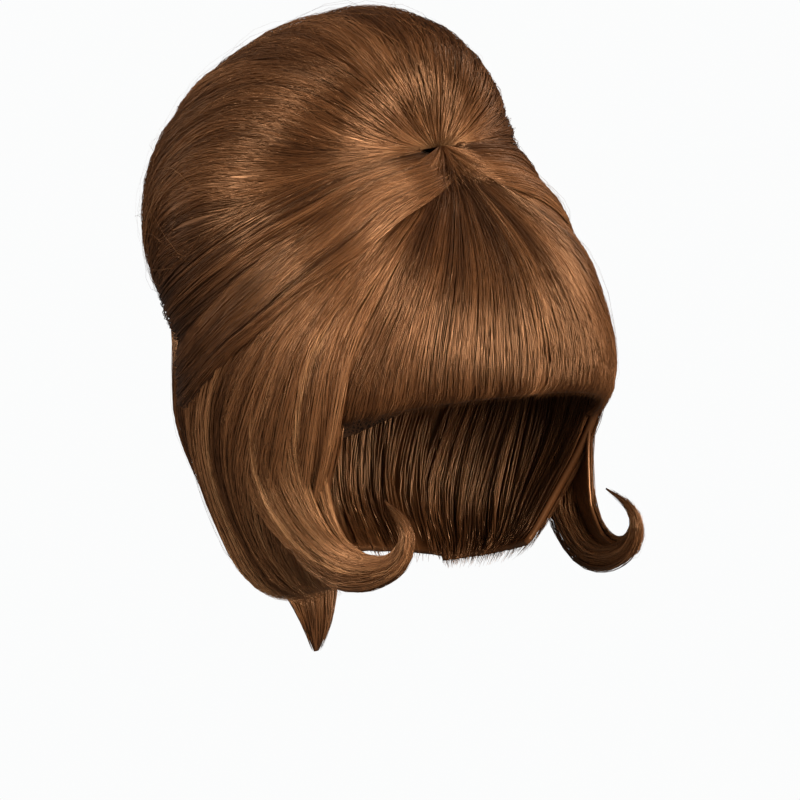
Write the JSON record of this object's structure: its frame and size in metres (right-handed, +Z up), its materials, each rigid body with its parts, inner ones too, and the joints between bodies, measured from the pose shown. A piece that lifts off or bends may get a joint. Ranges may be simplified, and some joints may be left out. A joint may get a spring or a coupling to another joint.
{
  "type": "beehive wig",
  "caption": "Hollow wig with a tall teased crown, swept bands round the head, a full fringe, side hair that turns under and a curl on each cheek.",
  "frame": {"origin": "inside top of the cap, where the crown of the wearer's head touches it", "axes": "+Z up, the face looks to -Y, the wearer's right is -X"},
  "size_m": [0.1884, 0.2262, 0.3104],
  "materials": {
    "hair": "smooth synthetic hair with a soft shine",
    "cap_net": "matt knitted net"
  },
  "bodies": {
    "root": {"wig_cap": "cap_net", "crown_puff": "hair", "fringe": "hair", "back_hair": "hair", "nape_point": "hair", "side_hair_right": "hair", "side_hair_left": "hair", "swept_wing_right": "hair", "swept_wing_left": "hair", "cheek_curl_right": "hair", "cheek_curl_left": "hair"}
  },
  "joints": []
}
